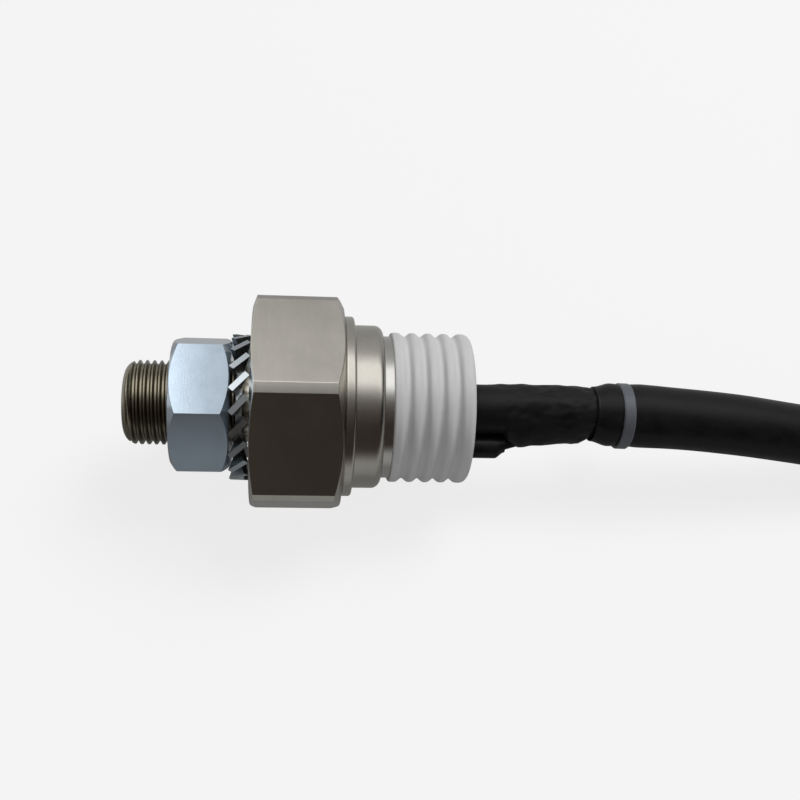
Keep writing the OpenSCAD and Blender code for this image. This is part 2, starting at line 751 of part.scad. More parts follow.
module gate_tube() {
  color([0.72, 0.72, 0.70]) at_gate()
    ring(cathode_tube_x, gate_tube_bore / 2, gate_tube_r, gate_tube_end - cathode_tube_x);
}

// Flexible lead and its sleeves
module cathode_lead() {
  color([0.82, 0.52, 0.34]) cord(lead_route, lead_r, lead_sides);
}

module lead_sleeve_inner() {
  n = len(inner_sleeve_route);
  color([0.10, 0.10, 0.11]) sleeve(
    inner_sleeve_route,
    [for (i = [0:n - 1]) inner_sleeve_r - inner_sleeve_shrink[i]],
    [for (i = [0:n - 1]) cathode_tube_r - inner_sleeve_shrink[i]],
    lead_sides
  );
}

module lead_sleeve_outer() {
  n = len(outer_sleeve_route);
  color([0.08, 0.08, 0.09]) sleeve(
    outer_sleeve_route,
    [for (i = [0:n - 1]) outer_sleeve_r],
    [for (i = [0:n - 1]) outer_sleeve_r - outer_sleeve_wall],
    lead_sides
  );
}

module gate_sleeve() {
  color([0.09, 0.09, 0.10]) at_gate()
    ring(bead_top_x, gate_tube_r, gate_sleeve_r, gate_tube_end + gate_sleeve_past - bead_top_x);
}

module gate_lead() {
  color([0.12, 0.12, 0.13]) cord(gate_route, wire_r, wire_sides);
}

module aux_lead() {
  color([0.55, 0.10, 0.08]) cord(aux_route, wire_r, wire_sides);
}

// Cable tie with its head on the far side
module cable_tie() {
  inner = outer_sleeve_r + tie_gap;
  color([0.62, 0.64, 0.68]) translate(tie_pos) rotate([0, tie_tilt, 0]) {
    ring(-tie_w / 2, inner, inner + tie_t, tie_w);
    rotate([tie_head_angle, 0, 0]) translate([-tie_head[0] / 2, -tie_head[1] / 2, inner + tie_t / 2])
      cube(tie_head);
  }
}

// Tinned lug: barrel, pressed neck and flat palm with a hole
module cable_lug() {
  neck_x = lug_x + lug_barrel_len;
  palm_x = neck_x + lug_neck_len;
  color([0.78, 0.79, 0.80]) difference() {
    union() {
      translate([0, 0, lug_z]) on_axis(lug_x) cylinder(d = lug_barrel_d, h = lug_barrel_len, $fn = fine);
      hull() {
        translate([0, 0, lug_z]) on_axis(neck_x - lug_skin) cylinder(d = lug_barrel_d, h = lug_skin, $fn = 32);
        translate([palm_x, -lug_palm_w / 2 + lug_neck_taper, floor_z])
          cube([lug_skin, lug_palm_w - 2 * lug_neck_taper, lug_palm_t]);
      }
      translate([palm_x, -lug_palm_w / 2, floor_z]) cube([lug_hole_x - palm_x, lug_palm_w, lug_palm_t]);
      translate([lug_hole_x, 0, floor_z]) cylinder(d = lug_palm_w, h = lug_palm_t, $fn = fine);
    }
    translate([0, 0, lug_z]) on_axis(lug_x - past) cylinder(r = lead_r, h = lug_barrel_len, $fn = fine);
    translate([lug_hole_x, 0, floor_z - past]) cylinder(d = lug_hole_d, h = lug_palm_t + 2 * past, $fn = fine);
  }
}

// Push-on terminal: crimp barrel, neck and flat box
module push_on(side) {
  box_x = terminal_x + terminal_barrel_len + terminal_neck_len;
  box_len = terminal_len - terminal_barrel_len - terminal_neck_len;
  color([0.80, 0.78, 0.70]) translate([0, side * terminal_y, 0]) {
    translate([0, 0, terminal_z]) ring(terminal_x, wire_r, terminal_barrel_r, terminal_barrel_len);
    translate([terminal_x + terminal_barrel_len - terminal_neck_sunk, -terminal_neck_w / 2, floor_z])
      cube([terminal_neck_len + 2 * terminal_neck_sunk, terminal_neck_w, terminal_wall]);
    translate([box_x, -terminal_w / 2, floor_z]) difference() {
      cube([box_len, terminal_w, terminal_h]);
      translate([-past, terminal_wall, terminal_wall])
        cube([box_len + 2 * past, terminal_w - 2 * terminal_wall, terminal_h - 2 * terminal_wall]);
      translate([-past, (terminal_w - terminal_slit) / 2, terminal_h - 2 * terminal_wall])
        cube([box_len + 2 * past, terminal_slit, 3 * terminal_wall]);
    }
  }
}

module gate_terminal() {
  push_on(-1);
}

module aux_terminal() {
  push_on(1);
}

base_stud();
hex_nut();
lock_washer();
weld_ring();
cap_shell();
neck_sleeve();
ceramic_insulator();
lower_disc();
silicon_wafer();
upper_disc();
locating_ring();
cathode_post();
post_insulator();
mica_washer();
thrust_washer();
disc_spring_lower();
disc_spring_upper();
retaining_ring();
clamp_collar();
gate_bush();
gate_pin();
gate_spring();
gate_inner_wire();
inner_lead();
top_seal();
cathode_tube();
gate_bead();
gate_tube();
cathode_lead();
lead_sleeve_inner();
lead_sleeve_outer();
gate_sleeve();
gate_lead();
aux_lead();
cable_tie();
cable_lug();
gate_terminal();
aux_terminal();
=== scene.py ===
# Dresses the solids of a stud-mounted phase control thyristor that lies on one flat of its hexagon.
import math
from contextlib import contextmanager

import bmesh
import bpy
from bpy.props import FloatProperty, FloatVectorProperty, IntProperty, PointerProperty
from mathutils import Matrix, Quaternion, Vector, noise


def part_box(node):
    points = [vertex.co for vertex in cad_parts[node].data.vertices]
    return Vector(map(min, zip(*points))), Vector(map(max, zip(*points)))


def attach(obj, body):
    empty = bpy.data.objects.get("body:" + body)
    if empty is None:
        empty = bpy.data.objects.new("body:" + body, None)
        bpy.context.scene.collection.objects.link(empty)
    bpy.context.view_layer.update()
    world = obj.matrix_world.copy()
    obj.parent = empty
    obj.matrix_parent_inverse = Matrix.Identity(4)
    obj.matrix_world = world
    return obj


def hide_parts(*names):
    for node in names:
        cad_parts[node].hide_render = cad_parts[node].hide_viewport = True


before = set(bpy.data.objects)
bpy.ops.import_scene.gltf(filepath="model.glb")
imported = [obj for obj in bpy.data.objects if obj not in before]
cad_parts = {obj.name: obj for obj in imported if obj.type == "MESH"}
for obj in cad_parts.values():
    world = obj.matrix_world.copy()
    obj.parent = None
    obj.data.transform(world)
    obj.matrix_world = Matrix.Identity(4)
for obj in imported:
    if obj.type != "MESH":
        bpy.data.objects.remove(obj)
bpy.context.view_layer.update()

bl_info = {
    "name": "Phase control thyristor",
    "version": (1, 0, 0),
    "blender": (4, 5, 0),
    "location": "3D View > Sidebar > Thyristor",
    "description": "Turned, threaded, pressed and sleeved pieces of a stud-mounted thyristor",
    "category": "Add Mesh",
}

MM = 0.001

# Routes of the lead and the wires, in mm, as the solids have them
LEAD_ROUTE = [
    (47.6, 0, 0), (53, 0, 0), (58, 0, 0), (64, 0, 0), (70, 0, -0.1), (78, 0, -0.2), (86, 0, -0.4),
    (96, 0, -0.8), (106, 0, -1.8), (117, 0, -3.4), (128, 0, -5.6), (139, 0, -7.9), (150, 0, -10.1),
    (161, 0, -12), (172, 0, -13.3), (184, 0, -13.8), (194, 0, -13.9), (199, 0, -14.2),
    (204, 0, -15.2), (209, 0, -16.3), (212, 0, -16.3), (219, 0, -16.3), (226, 0, -16.3),
]
ROOT_SLEEVE_ROUTE = [
    (48.2, 0, 0), (53, 0, 0), (58.4, 0, 0), (60, 0, 0), (67, 0, 0), (74, 0, -0.1), (78, 0, -0.2),
    (85, 0, -0.4),
]
OUTER_SLEEVE_ROUTE = [
    (78, 0, -1.4), (86, 0, -1.6), (96, 0, -2), (106, 0, -3), (117, 0, -4.6), (128, 0, -6.8), (139, 0, -9.1),
    (150, 0, -11.3), (161, 0, -13.2), (172, 0, -14.5), (184, 0, -15), (194, 0, -15.1), (199, 0, -15.1),
]
GATE_ROUTE = [
    (53.4, -6.5, -5.3), (56.6, -6.5, -5.3), (60, -5.7, -4.9), (63, -4.7, -5.3), (66.5, -3.2, -6.3),
    (70, -2.1, -6.8), (74, -1.4, -7), (78, -1.2, -6.6), (86, -1.2, -6.7), (96, -1.2, -7.1),
    (106, -1.2, -8.1), (117, -1.2, -9.7), (128, -1.2, -11.9), (139, -1.2, -14.2), (150, -1.2, -16.4),
    (161, -1.2, -18.3), (172, -1.2, -19.6), (184, -1.2, -20.1), (194, -1.2, -20.2), (199, -1.2, -20.2),
    (203, -1.6, -20.4), (207, -4, -20.8), (211, -7.2, -21.2), (217, -11, -21.2), (222, -13.5, -20.9),
    (226.5, -14.4, -20.8), (231, -14.4, -20.8),
]
AUX_ROUTE = [
    (87, 1.2, -6.2), (92, 1.2, -6.8), (98, 1.2, -7.2), (106, 1.2, -8.1), (117, 1.2, -9.7), (128, 1.2, -11.9),
    (139, 1.2, -14.2), (150, 1.2, -16.4), (161, 1.2, -18.3), (172, 1.2, -19.6), (184, 1.2, -20.1),
    (194, 1.2, -20.2), (199, 1.2, -20.2), (203, 1.6, -20.4), (207, 4, -20.8), (211, 7.2, -21.2),
    (217, 11, -21.2), (222, 13.5, -20.9), (226.5, 14.4, -20.8), (231, 14.4, -20.8),
]


def length(name, default, description):
    """A size in metres whose default is given in millimetres."""
    return FloatProperty(
        name=name, default=default * MM, min=0, unit="LENGTH", precision=5, description=description
    )


def turn_angle(name, default, description):
    """An angle whose default is given in degrees."""
    return FloatProperty(name=name, default=math.radians(default), subtype="ANGLE", description=description)


def amount(name, default, description, low=0, high=1000):
    return FloatProperty(name=name, default=default, min=low, max=high, description=description)


def colour(name, default, description):
    return FloatVectorProperty(
        name=name, default=default, size=3, min=0, max=1, subtype="COLOR", description=description
    )


class ThyristorSizes(bpy.types.PropertyGroup):
    """Sizes of the details that the solids leave out"""

    thread_pitch: length("Thread pitch", 1.5875, "Distance from one turn of the stud's thread to the next")
    thread_depth: length("Thread depth", 0.8, "Depth of the stud's thread")
    neck_length: length("Undercut", 2.6, "Length of the plain stretch between the thread and the hexagon")
    land_inset: length("Land inset", 0.25, "How far the hexagon's turned faces stop short of its flats")
    seat_chamfer: length("Seat chamfer", 1.0, "Height of the chamfer at the seat")
    top_chamfer: length("Top chamfer", 1.6, "Height of the chamfer at the weld ring")
    base_edge: length("Base edge", 0.14, "Rounding of the hexagon's edges")
    nut_edge: length("Nut edge", 0.7, "Rounding of the nut's edges")
    tooth_root_width: length("Tooth root", 3.4, "Width of a washer tooth where it leaves the ring")
    tooth_width: length("Tooth tip", 5.1, "Width of a washer tooth at its tip")
    washer_sheet: length("Washer sheet", 1.3, "Thickness of the washer")
    rib_depth: length("Rib depth", 0.9, "Depth of the grooves between the ceramic's ribs")
    wrinkle: length("Wrinkle", 0.28, "Height of the wrinkles in the sleeve at the lead's root")
    teeth: IntProperty(name="Teeth", default=20, min=8, max=30, description="Number of washer teeth")
    ribs: IntProperty(name="Ribs", default=5, min=2, max=9, description="Number of ribs on the ceramic")


class ThyristorColours(bpy.types.PropertyGroup):
    """Colours of the finishes"""

    plating: colour("Plating", (0.60, 0.575, 0.52), "Nickel plating of the base, ring and cap")
    thread: colour("Thread", (0.185, 0.17, 0.127), "Duller plating of the stud's thread")
    zinc: colour("Zinc", (0.365, 0.435, 0.505), "Bright zinc plating of the nut")
    washer: colour("Washer", (0.50, 0.55, 0.58), "Plating of the lock washer")
    ceramic: colour("Ceramic", (0.61, 0.61, 0.61), "Glazed ceramic")
    copper: colour("Copper", (0.72, 0.36, 0.20), "Bare copper")
    sleeve: colour("Sleeve", (0.006, 0.006, 0.0065), "Black sleeves")
    red_wire: colour("Red wire", (0.30, 0.012, 0.008), "Insulation of the auxiliary wire")
    tie: colour("Tie", (0.105, 0.113, 0.13), "Cable tie")
    tin: colour("Tin", (0.66, 0.67, 0.68), "Tin plating of the lug and terminals")
    floor: colour("Floor", (0.62, 0.62, 0.62), "Floor")


class ThyristorStage(bpy.types.PropertyGroup):
    """Camera and lights"""

    distance: length("Camera distance", 260, "Distance of the camera from the device's axis")
    station: length("Camera station", 8.4, "Station on the axis that the camera stands in front of")
    elevation: turn_angle("Elevation", 51.8, "Camera's height above the horizon")
    yaw: turn_angle("Yaw", 5.5, "Camera's turn towards the lead")
    roll: turn_angle("Roll", 1.17, "Camera's roll")
    raise_aim: length("Aim above the axis", 1.66, "How far the camera aims above the axis")
    lens: amount("Lens", 51.6, "Focal length in millimetres", low=1)
    key_power: amount("Key power", 17.5, "Power of the overhead softbox in watts")
    fill_power: amount("Fill power", 2.2, "Power of the front softbox in watts")
    room_level: amount("Room level", 0.18, "Light from all round")
    tent_strength: amount("Tent strength", 3.0, "Brightest part of the tent")
    floor_shine: amount("Floor shine", 0.8, "White mixed into the floor where it shows", high=1)


def sizes():
    return bpy.context.scene.thyristor_sizes


def colours():
    return bpy.context.scene.thyristor_colours


def stage():
    return bpy.context.scene.thyristor_stage


# Modelling helpers

def fresh(name, add, **options):
    """Adds a primitive with nothing else selected, sets its place in its mesh and names it."""
    bpy.ops.object.select_all(action="DESELECT")
    add(**options)
    piece = bpy.context.object
    bpy.ops.object.transform_apply(location=True, rotation=True, scale=True)
    piece.name = piece.data.name = name
    return piece


def pick(*pieces):
    """Selects these pieces and nothing else, the first one active."""
    bpy.ops.object.select_all(action="DESELECT")
    for piece in pieces:
        piece.select_set(True)
    bpy.context.view_layer.objects.active = pieces[0]


@contextmanager
def editing(piece):
    """Edit mode on one piece, with all of its mesh selected at first."""
    pick(piece)
    bpy.ops.object.mode_set(mode="EDIT")
    bpy.ops.mesh.select_all(action="SELECT")
    yield
    bpy.ops.object.mode_set(mode="OBJECT")


def apply_modifier(piece, kind, **settings):
    modifier = piece.modifiers.new(kind.title(), kind)
    for key, value in settings.items():
        setattr(modifier, key, value)
    pick(piece)
    bpy.ops.object.modifier_apply(modifier=modifier.name)


def combine(piece, other, operation):
    """Boolean of two closed pieces; the second one is used up."""
    apply_modifier(piece, "BOOLEAN", operation=operation, object=other, solver="EXACT")
    bpy.data.objects.remove(other)


def round_edges(piece, width, segments=2, angle=28):
    apply_modifier(
        piece, "BEVEL", width=width, segments=segments, limit_method="ANGLE",
        angle_limit=math.radians(angle), miter_outer="MITER_ARC",
    )


def smooth(piece, angle=32):
    pick(piece)
    bpy.ops.object.shade_smooth_by_angle(angle=math.radians(angle))


def flatten_faces(piece):
    """Lets the large faces keep their own direction, so that only the rounded edges are shaded round."""
    apply_modifier(piece, "WEIGHTED_NORMAL", mode="FACE_AREA", weight=100, keep_sharp=True)


def dress(piece, material, node):
    """Gives a piece its finish, puts it under the root body and hides the solid node that it stands for."""
    piece.data.materials.clear()
    piece.data.materials.append(material)
    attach(piece, "root")
    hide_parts(node)


def drawn(name, outline):
    """A chain of edges through (station, radius) points in metres, straight above the X axis."""
    x, r = outline[0]
    piece = fresh(name, bpy.ops.mesh.primitive_plane_add, size=MM, location=(x, 0, r))
    with editing(piece):
        bpy.ops.mesh.merge(type="CENTER")
        for (x0, r0), (x1, r1) in zip(outline, outline[1:]):
            bpy.ops.mesh.extrude_vertices_move(TRANSFORM_OT_translate={"value": (x1 - x0, 0, r1 - r0)})
    return piece


def turned(name, outline):
    """Spins an outline round the X axis."""
    piece = drawn(name, outline)
    with editing(piece):
        bpy.ops.mesh.spin(steps=144, angle=2 * math.pi, center=(0, 0, 0), axis=(1, 0, 0))
        bpy.ops.mesh.select_all(action="SELECT")
        bpy.ops.mesh.remove_doubles(threshold=1e-7)
        bpy.ops.mesh.normals_make_consistent(inside=False)
    return piece


def arc(x, r, radius, start, end, steps=8):
    """Points of a round stretch of an outline, by angles from the X axis."""
    angles = [math.radians(start + (end - start) * i / steps) for i in range(steps + 1)]
    return [(x + radius * math.cos(a), r + radius * math.sin(a)) for a in angles]


def hexagon(name, flat_radius, x, height):
    """A hexagonal bar along X whose flats face up and down."""
    return fresh(
        name, bpy.ops.mesh.primitive_cylinder_add, vertices=6, depth=height,
        radius=flat_radius / math.cos(math.radians(30)),
        location=(x + height / 2, 0, 0), rotation=(0, math.pi / 2, 0),
    )


def joined(name, parts):
    pick(*parts)
    bpy.ops.object.join()
    piece = bpy.context.object
    piece.name = piece.data.name = name
    return piece


# Swept cords and sleeves

def centreline(route, step):
    """Points in metres along a smooth curve through a route in mm, about one step apart."""
    knots = [Vector(p) * MM for p in route]
    before = knots[0] * 2 - knots[1]
    after = knots[-1] * 2 - knots[-2]
    chain = [before] + knots + [after]
    line = []
    for a, b, c, d in zip(chain, chain[1:], chain[2:], chain[3:]):
        count = max(1, round((c - b).length / step))
        for i in range(count):
            t = i / count
            line.append(0.5 * (
                2 * b + (c - a) * t + (2 * a - 5 * b + 4 * c - d) * t**2 + (3 * b - a - 3 * c + d) * t**3
            ))
    line.append(knots[-1])
    return line


def rise(value, start, reach):
    """0 up to the start, 1 from the reach beyond it, and straight in between."""
    return min(1.0, max(0.0, (value - start) / reach))


def eased(share):
    return share * share * (3 - 2 * share)


def bell(value, middle, width):
    return math.exp(-((value - middle) / width) ** 2)


def swept(name, line, radius_at, sides, lining_at=None):
    """A closed tube round a line: radius_at(distance, angle) is its skin, lining_at its bore."""
    mesh = bpy.data.meshes.new(name)
    piece = bpy.data.objects.new(name, mesh)
    bpy.context.scene.collection.objects.link(piece)
    work = bmesh.new()
    angles = [2 * math.pi * k / sides for k in range(sides)]
    distance = 0.0
    skin, lining = [], []
    for i, centre in enumerate(line):
        ahead = (line[min(i + 1, len(line) - 1)] - line[max(i - 1, 0)]).normalized()
        up = ahead.cross(Vector((0, 1, 0))).normalized()
        side = up.cross(ahead)
        if i:
            distance += (centre - line[i - 1]).length

        def ring(radius):
            return [
                work.verts.new(centre + radius(distance, a) * (math.cos(a) * up + math.sin(a) * side))
                for a in angles
            ]

        skin.append(ring(radius_at))
        if lining_at:
            lining.append(ring(lining_at))

    def wall(first, second):
        for k in range(sides):
            n = (k + 1) % sides
            face = work.faces.new((first[k], first[n], second[n], second[k]))
            face.smooth = True

    for i in range(len(line) - 1):
        wall(skin[i], skin[i + 1])
        if lining_at:
            wall(lining[i + 1], lining[i])
    if lining_at:
        wall(lining[0], skin[0])
        wall(skin[-1], lining[-1])
    else:
        work.faces.new(list(reversed(skin[0])))
        work.faces.new(skin[-1])
    bmesh.ops.recalc_face_normals(work, faces=work.faces)
    work.to_mesh(mesh)
    work.free()
    return piece


# Finishes

class Nodes:
    """Adds and joins the nodes of one tree."""

    def __init__(self, tree):
        self.tree = tree
        tree.nodes.clear()

    def add(self, kind, inputs=None, **settings):
        node = self.tree.nodes.new("ShaderNode" + kind)
        for key, value in settings.items():
            setattr(node, key, value)
        for key, value in (inputs or {}).items():
            self.put(node, key.replace("_", " ") if isinstance(key, str) else key, value)
        return node

    def put(self, node, key, value):
        socket = node.inputs[key]
        if isinstance(value, bpy.types.NodeSocket):
            self.tree.links.new(value, socket)
        elif isinstance(value, bpy.types.Node):
            self.tree.links.new(value.outputs[0], socket)
        elif socket.type == "RGBA" and len(value) == 3:
            socket.default_value = (*value, 1)
        else:
            socket.default_value = value

    def math(self, operation, *values):
        node = self.add("Math", operation=operation)
        for key, value in enumerate(values):
            self.put(node, key, value)
        return node.outputs[0]

    def ramp(self, value, stops):
        """Grey levels by position."""
        node = self.add("ValToRGB", {"Fac": value})
        elements = node.color_ramp.elements
        while len(elements) < len(stops):
            elements.new(0.5)
        for element, (position, level) in zip(elements, stops):
            element.position = position
            element.color = (level, level, level, 1)
        return node.outputs[0]

    def blend(self, factor, first, second):
        node = self.add("Mix", data_type="RGBA")
        for key, value in ((0, factor), (6, first), (7, second)):
            self.put(node, key, value)
        return node.outputs[2]

    def shows(self):
        """1 where a ray comes straight from the camera, from a mirror or through glass."""
        path = self.add("LightPath")
        bent = self.math("MAXIMUM", path.outputs["Is Glossy Ray"], path.outputs["Is Transmission Ray"])
        return self.math("MAXIMUM", path.outputs["Is Camera Ray"], bent)


class Finish(Nodes):
    """One material and the nodes that colour and roughen it."""

    def __init__(self, name, **shader):
        self.material = bpy.data.materials.new(name)
        self.material.use_nodes = True
        super().__init__(self.material.node_tree)
        self.shader = self.add("BsdfPrincipled", shader)
        self.output = self.add("OutputMaterial", {"Surface": self.shader})

    def place(self, stretch):
        """Coordinates in millimetres, stretched by a factor for each axis."""
        coordinates = self.add("TexCoord").outputs["Object"]
        return self.add("Mapping", {"Vector": coordinates, "Scale": [1000 * s for s in stretch]})

    def grain(self, stretch, detail, roughness=0.6):
        """Noise from 0 to 1 whose grain size in mm is one over the stretch."""
        inputs = {"Vector": self.place(stretch), "Scale": 1.0, "Detail": detail, "Roughness": roughness}
        return self.add("TexNoise", inputs).outputs["Fac"]

    def span(self, value, low, high, start=0.3, end=0.7):
        """Maps a grain to a range."""
        return self.add(
            "MapRange", {"Value": value, "From_Min": start, "From_Max": end, "To_Min": low, "To_Max": high}
        ).outputs[0]

    def bump(self, height, strength, distance):
        return self.add("Bump", {"Height": height, "Strength": strength, "Distance": distance}).outputs[0]

    def set(self, **inputs):
        for key, value in inputs.items():
            self.put(self.shader, key.replace("_", " "), value)
        return self.material


def scaled(shade, factor):
    return [c * factor for c in shade]


def plating(name, shade, roughness, stretch, depth, spots=0.35, thread=None):
    """Satin plating: fine marks along one direction, cloudy tone, a few dull spots and a duller thread."""
    finish = Finish(name, Metallic=1.0)
    marks = finish.grain(stretch, detail=5.0, roughness=0.75)
    clouds = finish.grain((0.12, 0.12, 0.12), detail=4.0)
    dots = finish.grain((1.6, 1.6, 1.6), detail=2.0)
    toned = finish.blend(finish.span(clouds, 0.0, 1.0), scaled(shade, 0.88), shade)
    worn = finish.blend(finish.span(dots, 0.0, spots, 0.62, 0.78), toned, scaled(shade, 0.6))
    rough = finish.math(
        "ADD", finish.span(marks, roughness - 0.03, roughness + 0.04), finish.span(dots, 0, 0.03, 0.6, 0.8)
    )
    if thread is not None:
        station = finish.add("SeparateXYZ", {0: finish.place((1, 1, 1))}).outputs["X"]
        on_thread = finish.span(station, 1.0, 0.0, -1.5, -0.5)
        worn = finish.blend(on_thread, worn, thread)
        rough = finish.math("ADD", rough, finish.math("MULTIPLY", on_thread, 0.08))
    return finish.set(Base_Color=worn, Roughness=rough, Normal=finish.bump(marks, depth, 0.00006))


def zinc_plating(shade):
    finish = Finish("bright_zinc", Metallic=0.75)
    clouds = finish.grain((0.25, 0.25, 0.25), detail=5.0)
    fine = finish.grain((3, 3, 3), detail=4.0)
    toned = finish.blend(finish.span(clouds, 0.0, 1.0), scaled(shade, 0.92), shade)
    return finish.set(
        Base_Color=toned, Roughness=finish.span(clouds, 0.07, 0.10), Normal=finish.bump(fine, 0.12, 0.00005)
    )


def glazed_ceramic(shade):
    finish = Finish("white_ceramic", Metallic=0.0, Coat_Weight=0.25, Coat_Roughness=0.25)
    clouds = finish.grain((0.15, 0.15, 0.15), detail=4.0)
    specks = finish.grain((2.5, 2.5, 2.5), detail=2.0)
    toned = finish.blend(finish.span(clouds, 0.0, 1.0), scaled(shade, 0.95), shade)
    dusty = finish.blend(finish.span(specks, 0.0, 0.12, 0.6, 0.75), toned, scaled(shade, 0.7))
    return finish.set(
        Base_Color=dusty, Roughness=finish.span(clouds, 0.38, 0.5), Normal=finish.bump(specks, 0.08, 0.00005)
    )


def sleeve_skin(name, shade, roughness, depth):
    """Black sleeving: slight sheen that changes along it and fine pits."""
    finish = Finish(name, Specular_IOR_Level=0.2)
    patches = finish.grain((0.2, 0.3, 0.3), detail=3.0)
    pits = finish.grain((2.2, 2.2, 2.2), detail=3.0)
    toned = finish.blend(finish.span(patches, 0.0, 1.0), shade, scaled(shade, 1.6))
    return finish.set(
        Base_Color=toned, Roughness=finish.span(patches, roughness - 0.08, roughness + 0.1),
        Normal=finish.bump(pits, depth, 0.0001),
    )


def moulded(name, shade, roughness):
    """Plain moulded plastic with a faint flow texture."""
    finish = Finish(name)
    flow = finish.grain((0.5, 1.5, 1.5), detail=3.0)
    toned = finish.blend(finish.span(flow, 0.0, 1.0), scaled(shade, 0.9), shade)
    return finish.set(Base_Color=toned, Roughness=roughness, Normal=finish.bump(flow, 0.1, 0.00005))


def metal(name, shade, roughness, stretch=(2, 2, 2)):
    """Plain metal with light marks."""
    finish = Finish(name, Metallic=1.0)
    marks = finish.grain(stretch, detail=4.0)
    toned = finish.blend(finish.span(marks, 0.0, 1.0), scaled(shade, 0.85), shade)
    return finish.set(
        Base_Color=toned, Roughness=finish.span(marks, roughness - 0.05, roughness + 0.08),
        Normal=finish.bump(marks, 0.12, 0.00005),
    )


AROUND = (5.0, 0.08, 0.08)


# Operators, one for each piece or group of like pieces

class Builder:
    bl_options = {"REGISTER", "UNDO"}


class THYRISTOR_OT_camera(Builder, bpy.types.Operator):
    """Camera at the photograph's angle"""

    bl_idname = "thyristor.camera"
    bl_label = "Camera"

    def execute(self, context):
        setup = stage()
        camera = bpy.data.objects.new("camera", bpy.data.cameras.new("camera"))
        context.scene.collection.objects.link(camera)
        context.scene.camera = camera
        up, away = math.sin(setup.elevation), math.cos(setup.elevation)
        camera.location = (setup.station, -setup.distance * away, setup.distance * up)
        tilt = Quaternion((1, 0, 0), math.pi / 2 - setup.elevation)
        turn = Quaternion((0, 1, 0), -setup.yaw)
        lift = Quaternion((1, 0, 0), math.atan(setup.raise_aim / setup.distance))
        camera.rotation_mode = "QUATERNION"
        camera.rotation_quaternion = tilt @ turn @ lift @ Quaternion((0, 0, 1), setup.roll)
        camera.data.lens = setup.lens
        camera.data.clip_start, camera.data.clip_end = 0.01, 20
        return {"FINISHED"}


